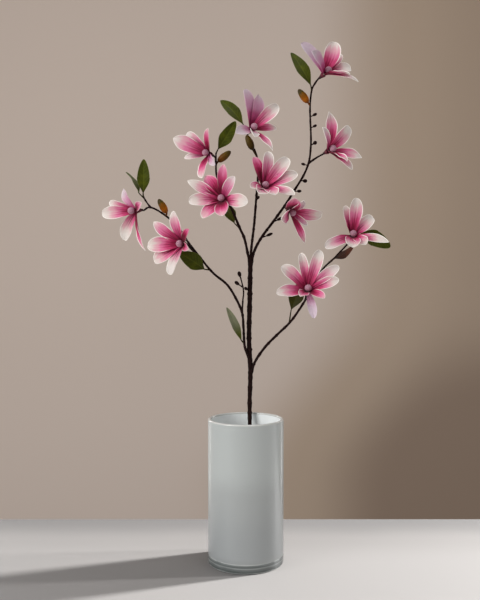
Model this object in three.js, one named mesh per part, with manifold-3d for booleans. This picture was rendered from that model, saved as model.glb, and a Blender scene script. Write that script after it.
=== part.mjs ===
// A flowering branch standing in a tall glass cylinder vase.
// Millimetres, +Z up, -Y is the front. The origin is the centre of the vase's underside.
import * as THREE from 'three';
import { mergeVertices } from 'three/addons/utils/BufferGeometryUtils.js';
import Module from 'manifold-3d';

const wasm = await Module();
wasm.setup();

// Driving dimensions
const GAP = 0.3;                 // clearance between pieces that touch
const SMALLEST_STEP = 0.08;      // facets that differ by less than this are merged
const VASE_RADIUS = 52.5;
const VASE_HEIGHT = 200;
const VASE_WALL = 4;
const VASE_BASE = 13;            // thickness of the solid glass floor
const VASE_BEVEL = 1.2;
const VASE_SEGMENTS = 36;
const WOOD_STEP = 17;            // length of one facet along a stem
const PETAL_THICKNESS = 1.6;     // along the middle; the edges are thin
const PETAL_CLAW = 0.3;          // width of a petal's foot as a share of its widest width
const PETAL_WIDEST = 0.64;       // where along its length a petal is widest
const PETAL_CURL = 30;           // degrees a petal bends outward from foot to tip
const PETAL_CUP = 0.3;           // how far a petal's edges rise, as a share of half its width
const LEAF_THICKNESS = 1.6;
const LEAF_WIDEST = 0.45;
const LEAF_FOLD = 0.22;
const CENTRE_RADIUS = 4.6;       // the bead in the middle of a flower
const SEAT_DEPTH = 8.5;          // from the bead's middle back to where the petals meet
const SEAT_RADIUS = 3.2;
const PETAL_START = 1.5;         // a petal's foot, out from the flower's axis
const CALYX_BASE = 18;           // from the bead's middle back to the end of the stalk
const CALYX_TOP = 10.3;          // and to the lip of the cup
const CALYX_RADIUS = 3.4;
const STALK_RADIUS = 1.3;

const BARK = { color: 0x2a1716, roughness: 0.75 };
const PETAL = { color: 0xd98aa8, roughness: 0.6 };
const BEAD = { color: 0xb98aa0, roughness: 0.55 };
const CALYX = { color: 0x4a2328, roughness: 0.7 };
const LEAF = { color: 0x44500f, roughness: 0.5 };
const BUD = { color: 0xa06a10, roughness: 0.55 };
const GLASS = { color: 0xc6cac8, roughness: 0.35 };

// Solids

function solid(geometry) {
  const bare = geometry.clone();
  bare.deleteAttribute('normal');
  bare.deleteAttribute('uv');
  const merged = mergeVertices(bare, 1e-4);
  const vertProperties = new Float32Array(merged.attributes.position.array);
  const triVerts = new Uint32Array(merged.index.array);
  return new wasm.Manifold(new wasm.Mesh({ numProp: 3, vertProperties, triVerts }));
}

function geometryOf(body) {
  const mesh = body.simplify(SMALLEST_STEP).getMesh();
  const geometry = new THREE.BufferGeometry();
  geometry.setAttribute('position', new THREE.BufferAttribute(mesh.vertProperties, 3));
  geometry.setIndex(new THREE.BufferAttribute(mesh.triVerts, 1));
  return geometry;
}

// A body cut clear of its neighbours. Slivers left on the far side of a cut are dropped.
function clearOf(body, cutters) {
  const cut = cutters.reduce((rest, cutter) => rest.subtract(cutter), body);
  const pieces = cut.decompose();
  return pieces.reduce((best, piece) => (piece.volume() > best.volume() ? piece : best));
}

function joined(bodies) {
  return bodies.reduce((whole, body) => whole.add(body));
}

// Closed skins from rings of points: each ring is joined to the next, and the ends are capped.
function ringSkin(rings) {
  const sides = rings[0].length;
  const points = rings.flat();
  const faces = [];
  for (let ring = 0; ring < rings.length - 1; ring += 1) {
    for (let side = 0; side < sides; side += 1) {
      const a = ring * sides + side;
      const b = ring * sides + ((side + 1) % sides);
      faces.push(a, b, a + sides, b, b + sides, a + sides);
    }
  }
  const last = points.length - sides;
  for (let side = 1; side < sides - 1; side += 1) {
    faces.push(0, side + 1, side);
    faces.push(last, last + side, last + side + 1);
  }
  const geometry = new THREE.BufferGeometry().setFromPoints(points);
  geometry.setIndex(faces);
  return geometry;
}

const vector = (xyz) => new THREE.Vector3(...xyz);

// A round stem through the given points, its radius running through the given radii.
function tube(points, radii, grow = 0, sides = 6) {
  const curve = new THREE.CatmullRomCurve3(points.map(vector), false, 'centripetal');
  const steps = Math.max(2, Math.round(curve.getLength() / WOOD_STEP));
  const frames = curve.computeFrenetFrames(steps);
  const rings = [];
  for (let step = 0; step <= steps; step += 1) {
    const along = step / steps;
    const place = along * (radii.length - 1);
    const before = Math.min(Math.floor(place), radii.length - 2);
    const radius = THREE.MathUtils.lerp(radii[before], radii[before + 1], place - before) + grow;
    const middle = curve.getPointAt(along);
    const ring = [];
    for (let side = 0; side < sides; side += 1) {
      const turn = (side / sides) * 2 * Math.PI;
      ring.push(middle.clone()
        .addScaledVector(frames.normals[step], Math.cos(turn) * radius)
        .addScaledVector(frames.binormals[step], Math.sin(turn) * radius));
    }
    rings.push(ring);
  }
  return solid(ringSkin(rings));
}

// A spindle between two points. Its shape lists shares of its length and of its radius.
const BUD_SHAPE = [[0, 0.4], [0.2, 0.85], [0.45, 1], [0.78, 0.78], [1, 0.2]];
const KNOT_SHAPE = [[0, 0.4], [0.4, 0.4], [0.7, 1], [1, 0.35]];

function spindle(base, tip, radius, sides, shape) {
  const start = vector(base);
  const axis = vector(tip).sub(start);
  const across = new THREE.Vector3(0.3, 1, 0.2).cross(axis).normalize();
  const over = axis.clone().normalize().cross(across);
  const rings = shape.map(([along, wide]) => Array.from({ length: sides }, (_, side) => {
    const turn = (side / sides) * 2 * Math.PI;
    return start.clone().addScaledVector(axis, along)
      .addScaledVector(across, Math.cos(turn) * radius * wide)
      .addScaledVector(over, Math.sin(turn) * radius * wide);
  }));
  return solid(ringSkin(rings));
}

// A thin blade, thickest along its middle. Each station has a middle, a side direction, an up
// direction and half a width; its edges rise by lift times half the width.
function blade(stations, lift, thickness) {
  const rings = stations.map(({ middle, side, up, half }) => {
    const at = (across, height) => middle.clone()
      .addScaledVector(side, across * half)
      .addScaledVector(up, height);
    const raised = lift * half;
    return [at(-1, raised), at(0, -thickness / 2), at(1, raised), at(0, thickness / 2)];
  });
  return solid(ringSkin(rings));
}

// Half a petal's or leaf's width at a share of its length: an eased rise, then a round end.
function outline(along, widest, foot, point = 0) {
  if (along < widest) {
    return foot + (1 - foot) * Math.sin((along / widest) * Math.PI / 2) ** 1.4;
  }
  const past = 0.98 * (along - widest) / (1 - widest);
  return (1 - past ** (2.2 - 0.6 * point)) ** (0.5 + 0.45 * point);
}

// The vase: a straight glass cylinder with a thick solid floor

function vaseGeometry() {
  const inner = VASE_RADIUS - VASE_WALL;
  const top = VASE_HEIGHT;
  const profile = [
    [0, 0], [VASE_RADIUS - 2 * VASE_BEVEL, 0], [VASE_RADIUS, 2 * VASE_BEVEL],
    [VASE_RADIUS, top - VASE_BEVEL], [VASE_RADIUS - VASE_BEVEL, top],
    [inner + VASE_BEVEL, top], [inner, top - VASE_BEVEL],
    [inner, VASE_BASE + 2 * VASE_BEVEL], [inner - 2 * VASE_BEVEL, VASE_BASE], [0, VASE_BASE],
  ].map(([radius, height]) => new THREE.Vector2(radius, height));
  return new THREE.LatheGeometry(profile, VASE_SEGMENTS).rotateX(Math.PI / 2);
}

// The wood. The stem stands on the vase's floor near the front wall, leans back on the rim and
// rises upright from there. Each shoot starts inside what carries it and is cut clear of it.

const MAIN_STEM = {
  path: [[7, -36, VASE_BASE + 3], [7, -22, 50], [6, 12, 120], [6, 37, 185], [6, 43, 219],
    [7, 43, 261], [5, 41, 306], [6, 39, 363], [7, 38, 423]],
  radii: [2.7, 2.8, 2.9, 3.4, 3.6, 3.3],
};

const SHOOTS = {
  shoot_right: {
    runs: [
      { path: [[8, 43, 258], [13, 41, 273], [28, 36, 296], [45, 31, 314], [63, 26, 332],
        [77, 22, 352], [86, 20, 367], [108, 24, 406], [126, 32, 423], [146, 43, 443],
        [152, 46, 450]], radii: [2.1, 1.9, 1.7, 1.4, 1.3] },
      { path: [[85, 20, 365], [84, 9, 370], [84, 2, 373]], radii: [1.4, 1.3] },
    ],
    knots: [],
  },
  shoot_left: {
    runs: [
      { path: [[5, 41, 280], [-1, 37, 296], [-3, 33, 324], [-5, 32, 345], [-14, 28, 366],
        [-26, 22, 385], [-46, 16, 402], [-65, 10, 425], [-82, 8, 447], [-90, 9, 460],
        [-111, 10, 481], [-134, 9, 493], [-142, 5, 488]], radii: [2, 1.8, 1.7, 1.5, 1.3] },
      { path: [[-64, 10, 424], [-75, 1, 434], [-80, -7, 441]], radii: [1.4, 1.3] },
      { path: [[-132, 9, 492], [-140, 11, 503], [-143, 12, 509]], radii: [1.3, 1.1] },
    ],
    knots: [],
  },
  shoot_upper_left: {
    runs: [
      { path: [[6, 38, 416], [3, 36, 430], [-2, 34, 452], [-8, 32, 465], [-21, 24, 495],
        [-34, 21, 521], [-41, 22, 540], [-42, 26, 556], [-42, 30, 572]],
        radii: [2, 1.9, 1.6, 1.3] },
      { path: [[-22, 24, 497], [-29, 14, 499], [-30, 7, 500]], radii: [1.4, 1.3] },
      { path: [[-42, 27, 558], [-43, 36, 566], [-46, 42, 570]], radii: [1.3, 1.3] },
    ],
    knots: [],
  },
  shoot_upper_middle: {
    runs: [
      { path: [[7, 38, 416], [8, 36, 435], [12, 30, 470], [15, 24, 508], [17, 24, 533],
        [16, 27, 565], [9, 32, 583], [2, 37, 593], [3, 37, 600]], radii: [2, 1.8, 1.5, 1.3] },
      { path: [[16, 24, 518], [19, 13, 517], [21, 5, 514]], radii: [1.4, 1.3] },
    ],
    knots: [[[15, 24, 503], [18, 19, 508], 1.8]],
  },
  shoot_upper_right: {
    runs: [
      { path: [[8, 38, 416], [12, 38, 432], [21, 36, 450], [40, 32, 476], [58, 28, 501],
        [71, 26, 522], [82, 25, 540], [89, 24, 558], [92, 26, 583], [91, 28, 640],
        [94, 28, 662], [99, 28, 671], [103, 27, 676]], radii: [2.1, 1.9, 1.6, 1.4, 1.3] },
      { path: [[56, 28, 498], [55, 22, 495], [56, 17, 493]], radii: [1.4, 1.3] },
      { path: [[88, 24, 556], [100, 21, 564], [108, 18, 568]], radii: [1.4, 1.3] },
    ],
    knots: [
      [[23, 36, 452], [35, 33, 457], 2.2],
      [[39, 32, 474], [49, 29, 479], 2.2],
      [[68, 26, 517], [76, 22, 517], 2.2],
      [[77, 25, 532], [84, 20, 531], 2.7],
      [[88, 24, 553], [81, 29, 556], 2],
      [[92, 26, 582], [98, 22, 585], 2.7],
      [[91, 27, 606], [98, 24, 609], 2],
      [[91, 28, 622], [98, 24, 625], 2.2],
    ],
  },
  twig_lower: {
    runs: [{ path: [[-5, 32, 345], [-4, 28, 362], [-3, 26, 376], [-7, 22, 395]], radii: [1.3, 1] }],
    knots: [
      [[-6, 23, 391], [-9, 20, 401], 2.8],
      [[-5, 25, 382], [-13, 22, 388], 2.6],
    ],
  },
};
const STEM_KNOT = [[5, 39, 376], [0, 34, 380], 2.3];

// A small resting bud on a short stub of its own.
function knot([from, to, radius], grow = 0) {
  const end = vector(to).sub(vector(from)).multiplyScalar(1.25).add(vector(from));
  return spindle(from, end.toArray(), radius + grow, 5, KNOT_SHAPE);
}

function wood({ runs, knots }, grow = 0) {
  return joined([
    ...runs.map(({ path, radii }) => tube(path, radii, grow)),
    ...knots.map((each) => knot(each, grow)),
  ]);
}

const stemTube = (grow) => tube(MAIN_STEM.path, MAIN_STEM.radii, grow, 8).add(knot(STEM_KNOT, grow));

// Flowers. Each faces along its axis; petals are listed by the hour they point to, seen from in
// front of the flower and counted in degrees from its right hand, how far each opens from the
// axis in degrees, its length, its widest width, how far it is rolled about its own length in
// degrees, and how pointed its tip is, from 0 to 1.

const FLOWERS = [
  { centre: [116, 20, 686], faces: [0.72, -0.38, 0.58], petals: [
    [72, 40, 48, 23, -50, 0.1], [40, 46, 44, 20, -40, 0.1], [345, 42, 42, 20, 0, 0],
    [312, 55, 50, 14, 0, 0.6], [120, 85, 52, 17, -55, 0.4], [155, 75, 44, 16, -45, 0.3],
    [270, 40, 38, 15, 0, 0.2]] },
  { centre: [121, 6, 574], faces: [0.7, -0.65, 0.3], petals: [
    [90, 70, 54, 18, -30, 0.9], [145, 60, 42, 11, -25, 0.5], [48, 52, 46, 19, 0, 0],
    [335, 55, 48, 15, 0, 0.8], [308, 68, 42, 14, 0, 0.6], [275, 45, 34, 12, 0, 0.3]] },
  { centre: [153, 30, 458], faces: [0.08, -0.86, 0.42], petals: [
    [105, 65, 44, 14, 0, 0.1], [83, 60, 54, 19, 0, 0], [40, 70, 40, 19, 0, 0],
    [335, 65, 54, 13, 0, 0.8], [210, 76, 50, 18, 0, 0], [255, 50, 40, 22, 0, 0],
    [295, 48, 36, 18, 0, 0.1]] },
  { centre: [85, -14, 381], faces: [0.06, -0.86, 0.45], petals: [
    [195, 70, 48, 19, 0, 0.1], [140, 70, 48, 20, 0, 0], [100, 65, 52, 14, 0, 0.1],
    [70, 65, 58, 17, 0, 0], [32, 66, 54, 16, 0, 0.1], [10, 65, 45, 16, 0, 0.2],
    [308, 48, 38, 13, 0, 0.2], [275, 75, 48, 12, 0, 0], [235, 45, 30, 14, 0, 0.1]] },
  { centre: [65, 4, 485], faces: [0.5, -0.72, -0.45], petals: [
    [125, 50, 42, 21, -45, 0.2], [5, 65, 47, 19, 0, 0], [305, 65, 53, 11, 0, 0.9],
    [185, 48, 40, 19, 0, 0.2], [332, 62, 34, 8, 0, 0.3], [100, 40, 38, 14, -20, 0.2]] },
  { centre: [27, -10, 522], faces: [0.28, -0.82, 0.45], petals: [
    [110, 65, 44, 16, 0, 0.2], [80, 65, 51, 17, 0, 0.1], [45, 58, 53, 19, 0, 0],
    [15, 65, 50, 17, 0, 0.1], [322, 57, 47, 14, 0, 0.2], [235, 50, 40, 21, 0, 0],
    [208, 52, 40, 16, 0, 0.2], [275, 45, 38, 20, 0, 0.1]] },
  { centre: [12, 24, 608], faces: [0.5, -0.7, 0.42], petals: [
    [105, 60, 56, 20, 0, 0.2], [75, 60, 51, 19, 0, 0.3], [35, 48, 52, 18, 0, 0],
    [5, 80, 42, 13, 0, 0.5], [280, 65, 52, 12, 0, 0.9], [205, 75, 42, 17, 0, 0.3],
    [240, 55, 36, 14, 0, 0.1]] },
  { centre: [-34, -10, 504], faces: [-0.2, -0.9, 0.22], petals: [
    [85, 63, 48, 14, 0, 0.3], [125, 67, 39, 19, 0, 0.3], [155, 65, 54, 16, 0, 0.8],
    [190, 65, 46, 20, 0, 0], [237, 60, 43, 19, 0, 0.1], [285, 50, 40, 20, 0, 0],
    [345, 65, 44, 19, 0, 0], [48, 50, 40, 15, 0, 0.2]] },
  { centre: [-57, 28, 572], faces: [-0.6, -0.72, 0.12], petals: [
    [155, 50, 56, 22, 0, 0.7], [135, 66, 45, 17, 0, 0.3], [62, 52, 40, 12, 0, 0.6],
    [188, 70, 38, 10, 0, 0.5], [278, 65, 42, 18, 0, 0], [320, 65, 37, 11, 0, 0.2]] },
  { centre: [-90, -22, 441], faces: [-0.55, -0.8, 0.02], petals: [
    [98, 70, 46, 15, 0, 0.2], [140, 65, 50, 16, 0, 0.7], [183, 60, 49, 21, 0, 0],
    [214, 66, 46, 21, 0, 0], [260, 65, 46, 17, 0, 0], [36, 55, 36, 11, 0, 0.5],
    [341, 50, 34, 11, 0, 0.4]] },
  { centre: [-158, -4, 487], faces: [-0.85, -0.48, -0.1], petals: [
    [180, 33, 49, 18, 0, 0], [155, 55, 45, 13, 0, 0.4], [235, 75, 48, 18, -40, 0.1],
    [282, 92, 58, 11, 0, 0.9], [132, 82, 43, 15, 0, 0.4], [15, 82, 30, 12, 0, 0.3]] },
];

// The flower's axis with its own right and up directions.
function flowerFrame({ centre, faces }) {
  const axis = vector(faces).normalize();
  const up = new THREE.Vector3(0, 0, 1).addScaledVector(axis, -axis.z).normalize();
  const right = up.clone().cross(axis);
  return { centre: vector(centre), axis, up, right };
}

// A point on the axis, so far behind the middle of the bead.
const behind = ({ centre, axis }, depth) => centre.clone().addScaledVector(axis, -depth).toArray();

function petal(frame, [clock, open, length, width, roll, point]) {
  const turn = THREE.MathUtils.degToRad(clock);
  const lay = THREE.MathUtils.degToRad(roll);
  const out = frame.right.clone().multiplyScalar(Math.cos(turn))
    .addScaledVector(frame.up, Math.sin(turn));
  const square = frame.axis.clone().cross(out);
  const middle = frame.centre.clone().addScaledVector(frame.axis, -SEAT_DEPTH)
    .addScaledVector(out, PETAL_START);
  const shares = [0, 0.22, 0.5, 0.8, 1];
  let before = 0;
  const stations = shares.map((along) => {
    const bend = (at) => THREE.MathUtils.degToRad(open + PETAL_CURL * (at - 0.5));
    const step = (along - before) * length;
    const heading = bend((along + before) / 2);
    middle.addScaledVector(out, Math.sin(heading) * step)
      .addScaledVector(frame.axis, Math.cos(heading) * step);
    before = along;
    const lean = bend(along);
    const face = frame.axis.clone().multiplyScalar(Math.sin(lean))
      .addScaledVector(out, -Math.cos(lean));
    const side = square.clone().multiplyScalar(Math.cos(lay)).addScaledVector(face, Math.sin(lay));
    const up = face.multiplyScalar(Math.cos(lay)).addScaledVector(square, -Math.sin(lay));
    const half = (width / 2) * outline(along, PETAL_WIDEST, PETAL_CLAW, point);
    return { middle: middle.clone(), side, up, half };
  });
  return blade(stations, PETAL_CUP, PETAL_THICKNESS);
}

function ball(middle, radius) {
  const sphere = new THREE.SphereGeometry(radius, 8, 5);
  sphere.translate(middle.x, middle.y, middle.z);
  return solid(sphere);
}

function petalWhorl(flower) {
  const frame = flowerFrame(flower);
  const seat = ball(vector(behind(frame, SEAT_DEPTH)), SEAT_RADIUS);
  const whorl = joined([seat, ...flower.petals.map((each) => petal(frame, each))]);
  return clearOf(whorl, [ball(frame.centre, CENTRE_RADIUS + GAP)]);
}

// The cup under the petals: it flares from the stalk and holds their seat.
function calyx(flower) {
  const frame = flowerFrame(flower);
  const cup = tube([behind(frame, CALYX_BASE - GAP), behind(frame, CALYX_TOP)],
    [STALK_RADIUS, STALK_RADIUS + 1, CALYX_RADIUS]);
  return clearOf(cup, [ball(vector(behind(frame, SEAT_DEPTH)), SEAT_RADIUS + GAP)]);
}

// The room kept at the end of a stalk for its calyx and flower.
function stalkEnd(flower) {
  const frame = flowerFrame(flower);
  return tube([behind(frame, CALYX_BASE), behind(frame, SEAT_DEPTH)],
    [CALYX_RADIUS, CALYX_RADIUS + 2], GAP);
}

// Leaves and bracts, each with a short stalk from the shoot that carries it.

const LEAVES = [
  { name: 'leaf_top', from: [93, 28, 659], base: [92, 30, 667], tip: [65, 44, 717],
    faces: [0.25, -1, 0.25], width: 20, arch: 3 },
  { name: 'leaf_upper_middle', from: [3, 37, 598], base: [-4, 44, 616], tip: [-36, 60, 653],
    faces: [0.1, -1, 0.5], width: 20, arch: 4 },
  { name: 'leaf_upper_left', from: [-42, 30, 571], base: [-39, 29, 577], tip: [-14, 18, 614],
    faces: [0.3, -1, 0.1], width: 19, arch: 3 },
  { name: 'leaf_left_tall', from: [-143, 12, 508], base: [-143, 11, 513], tip: [-141, 4, 559],
    faces: [0.1, -1, -0.1], width: 18, arch: 3 },
  { name: 'leaf_left_edge', from: [-141, 12, 505], base: [-149, 16, 513], tip: [-169, 26, 544],
    faces: [0.8, -0.35, 0.45], width: 15, arch: 3 },
  { name: 'leaf_left_low', from: [-50, 15, 406], base: [-58, 13, 407], tip: [-93, 2, 430],
    faces: [0.2, -1, 0.15], width: 24, arch: 4 },
  { name: 'leaf_right', from: [146, 43, 443], base: [166, 55, 461], tip: [211, 58, 440],
    faces: [0.1, -1, 0.2], width: 25, arch: 3 },
  { name: 'leaf_stem', from: [-2, 36, 301], base: [-6, 30, 306], tip: [-27, 28, 353],
    faces: [0.3, -1, 0.2], width: 12, arch: 3 },
  { name: 'leaf_under_flower', from: [-7, 32, 464], base: [-16, 33, 473], tip: [-32, 46, 502],
    faces: [0.1, -0.9, 0.5], width: 18, arch: 3 },
  { name: 'leaf_fork', from: [62, 26, 332], base: [65, 30, 350], tip: [82, 42, 390],
    faces: [-0.1, -1, 0.3], width: 22, arch: 3 },
  { name: 'bract_right', from: [118, 28, 417], base: [126, 28, 422], tip: [152, 24, 440],
    faces: [0.3, -0.8, -0.5], width: 13, arch: 3, finish: CALYX },
];

function leaf({ from, base, tip, faces, width, arch }) {
  const start = vector(base);
  const along = vector(tip).sub(start);
  const side = vector(faces).cross(along).normalize();
  const up = along.clone().cross(side).normalize();
  const shares = [0, 0.12, 0.32, 0.55, 0.8, 1];
  const stations = shares.map((share) => ({
    middle: start.clone().addScaledVector(along, share)
      .addScaledVector(up, arch * Math.sin(share * Math.PI)),
    side,
    up,
    half: Math.max(0.6, (width / 2) * outline(share, LEAF_WIDEST, 0.06) * (1 - 0.35 * share ** 3)),
  }));
  const root = start.clone().addScaledVector(along, 0.06).toArray();
  return blade(stations, LEAF_FOLD, LEAF_THICKNESS).add(tube([from, base, root], [1, 0.9], 0, 6));
}

const BUDS = [
  { name: 'bud_top', from: [91, 28, 638], base: [88, 27, 642], tip: [74, 24, 660] },
  { name: 'bud_upper_left', from: [-42, 27, 555], base: [-39, 26, 559], tip: [-21, 22, 573] },
  { name: 'bud_upper_middle', from: [16, 26, 566], base: [10, 22, 575], tip: [1, 19, 595] },
  { name: 'bud_left', from: [-111, 10, 481], base: [-110, 8, 485], tip: [-121, 4, 504] },
];
const BUD_RADIUS = 5.2;

const bud = ({ from, base, tip }) => tube([from, base], [1.1, 1.1], 0, 6)
  .add(spindle(base, tip, BUD_RADIUS, 8, BUD_SHAPE));

// The finished branch in its vase

const group = new THREE.Group();

function place(name, geometry, { color, roughness }) {
  const material = new THREE.MeshStandardMaterial({ color, roughness, metalness: 0 });
  const mesh = new THREE.Mesh(geometry, material);
  mesh.name = name;
  group.add(mesh);
}

place('vase', vaseGeometry(), GLASS);
place('main_stem', geometryOf(stemTube(0)), BARK);

const stalkEnds = FLOWERS.map(stalkEnd);
const woodSkins = [stemTube(GAP)];
for (const [name, shoot] of Object.entries(SHOOTS)) {
  place(name, geometryOf(clearOf(wood(shoot), [...woodSkins, ...stalkEnds])), BARK);
  woodSkins.push(wood(shoot, GAP));
}

FLOWERS.forEach((flower, index) => {
  const name = `flower_${index + 1}`;
  const whorl = petalWhorl(flower);
  const frame = flowerFrame(flower);
  place(`${name}_petals`, geometryOf(whorl), PETAL);
  place(`${name}_centre`, geometryOf(ball(frame.centre, CENTRE_RADIUS)), BEAD);
  place(`${name}_calyx`, geometryOf(calyx(flower)), CALYX);
});

LEAVES.forEach((each) => {
  place(each.name, geometryOf(clearOf(leaf(each), woodSkins)), each.finish ?? LEAF);
});
BUDS.forEach((each) => {
  place(each.name, geometryOf(clearOf(bud(each), woodSkins)), BUD);
});

export default group;
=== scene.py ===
"""The looks of a flowering branch in a frosted glass cylinder vase, built round its CAD frame."""

import math

import bpy
import numpy as np
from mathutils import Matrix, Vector, noise


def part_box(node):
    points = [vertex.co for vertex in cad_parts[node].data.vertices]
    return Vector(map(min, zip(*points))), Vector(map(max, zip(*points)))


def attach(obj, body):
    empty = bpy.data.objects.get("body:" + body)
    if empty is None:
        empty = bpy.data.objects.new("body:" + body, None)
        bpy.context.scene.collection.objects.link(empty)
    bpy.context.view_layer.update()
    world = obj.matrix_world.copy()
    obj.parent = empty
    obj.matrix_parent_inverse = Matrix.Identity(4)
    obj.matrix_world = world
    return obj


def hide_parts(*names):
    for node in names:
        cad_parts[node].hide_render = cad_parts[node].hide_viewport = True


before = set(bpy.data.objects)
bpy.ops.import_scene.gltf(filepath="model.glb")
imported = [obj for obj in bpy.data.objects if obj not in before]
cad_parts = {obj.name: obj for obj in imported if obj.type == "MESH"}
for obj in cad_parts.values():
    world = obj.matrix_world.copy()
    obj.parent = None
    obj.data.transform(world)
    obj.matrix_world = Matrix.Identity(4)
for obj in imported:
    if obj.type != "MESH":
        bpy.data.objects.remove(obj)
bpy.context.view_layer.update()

MM = 0.001

# ---------------------------------------------------------------- sizes, in millimetres

CENTRE_RADIUS = 4.6
SEAT_DEPTH = 8.5
PETAL_START = 1.5
CALYX_BASE = 18.0
CALYX_LIP = 9.6
CALYX_RADIUS = 3.6
STALK_RADIUS = 1.3
PETAL_CLAW = 0.3
PETAL_WIDEST = 0.64
PETAL_CURL = 30.0
PETAL_CUP = 0.3
PETAL_ROWS = 40
PETAL_COLUMNS = 19
LEAF_WIDEST = 0.45
LEAF_FOLD = 0.22
BUD_RADIUS = 5.2
VASE_WALL = 4.0
VASE_FLOOR = 13.0
VASE_SIDES = 144
VASE_BEVEL = 2.4
BARK_VOXEL = 0.42
BARK_STEP = 0.7
FURROW_DEPTH = 0.16

# The vase's finishes, in the order in which glass_paints returns them.
FROST, RIM, CLEAR, INSIDE = range(4)

# The camera stands in front of the object at the height of its lower flowers, in metres.
CAMERA_PLACE = (-0.008, -1.07, 0.389)
CAMERA_TILT_DOWN = 1.33
CAMERA_LENS = 46.4

# ---------------------------------------------------------------- the spray, as in the CAD

MAIN_STEM = {
    "runs": [([(7, -36, 16), (7, -22, 50), (6, 12, 120), (6, 37, 185), (6, 43, 219),
               (7, 43, 261), (5, 41, 306), (6, 39, 363), (7, 38, 423)],
              [2.7, 2.8, 2.9, 3.4, 3.6, 3.3])],
    "knots": [((5, 39, 376), (0, 34, 380), 2.3)],
}
SHOOTS = {
    "shoot_right": {
        "runs": [
            ([(8, 43, 258), (13, 41, 273), (28, 36, 296), (45, 31, 314), (63, 26, 332),
              (77, 22, 352), (86, 20, 367), (108, 24, 406), (126, 32, 423), (146, 43, 443),
              (152, 46, 450)], [2.1, 1.9, 1.7, 1.4, 1.3]),
            ([(85, 20, 365), (84, 9, 370), (84, 2, 373)], [1.4, 1.3])],
        "knots": [],
    },
    "shoot_left": {
        "runs": [
            ([(5, 41, 280), (-1, 37, 296), (-3, 33, 324), (-5, 32, 345), (-14, 28, 366),
              (-26, 22, 385), (-46, 16, 402), (-65, 10, 425), (-82, 8, 447), (-90, 9, 460),
              (-111, 10, 481), (-134, 9, 493), (-142, 5, 488)], [2, 1.8, 1.7, 1.5, 1.3]),
            ([(-64, 10, 424), (-75, 1, 434), (-80, -7, 441)], [1.4, 1.3]),
            ([(-132, 9, 492), (-140, 11, 503), (-143, 12, 509)], [1.3, 1.1])],
        "knots": [],
    },
    "shoot_upper_left": {
        "runs": [
            ([(6, 38, 416), (3, 36, 430), (-2, 34, 452), (-8, 32, 465), (-21, 24, 495),
              (-34, 21, 521), (-41, 22, 540), (-42, 26, 556), (-42, 30, 572)],
             [2, 1.9, 1.6, 1.3]),
            ([(-22, 24, 497), (-29, 14, 499), (-30, 7, 500)], [1.4, 1.3]),
            ([(-42, 27, 558), (-43, 36, 566), (-46, 42, 570)], [1.3, 1.3])],
        "knots": [],
    },
    "shoot_upper_middle": {
        "runs": [
            ([(7, 38, 416), (8, 36, 435), (12, 30, 470), (15, 24, 508), (17, 24, 533),
              (16, 27, 565), (9, 32, 583), (2, 37, 593), (3, 37, 600)], [2, 1.8, 1.5, 1.3]),
            ([(16, 24, 518), (19, 13, 517), (21, 5, 514)], [1.4, 1.3])],
        "knots": [((15, 24, 503), (18, 19, 508), 1.8)],
    },
    "shoot_upper_right": {
        "runs": [
            ([(8, 38, 416), (12, 38, 432), (21, 36, 450), (40, 32, 476), (58, 28, 501),
              (71, 26, 522), (82, 25, 540), (89, 24, 558), (92, 26, 583), (91, 28, 640),
              (94, 28, 662), (99, 28, 671), (103, 27, 676)], [2.1, 1.9, 1.6, 1.4, 1.3]),
            ([(56, 28, 498), (55, 22, 495), (56, 17, 493)], [1.4, 1.3]),
            ([(88, 24, 556), (100, 21, 564), (108, 18, 568)], [1.4, 1.3])],
        "knots": [
            ((23, 36, 452), (35, 33, 457), 2.2), ((39, 32, 474), (49, 29, 479), 2.2),
            ((68, 26, 517), (76, 22, 517), 2.2), ((77, 25, 532), (84, 20, 531), 2.7),
            ((88, 24, 553), (81, 29, 556), 2), ((92, 26, 582), (98, 22, 585), 2.7),
            ((91, 27, 606), (98, 24, 609), 2), ((91, 28, 622), (98, 24, 625), 2.2)],
    },
    "twig_lower": {
        "runs": [([(-5, 32, 345), (-4, 28, 362), (-3, 26, 376), (-7, 22, 395)], [1.3, 1])],
        "knots": [((-6, 23, 391), (-9, 20, 401), 2.8), ((-5, 25, 382), (-13, 22, 388), 2.6)],
    },
}

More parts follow.
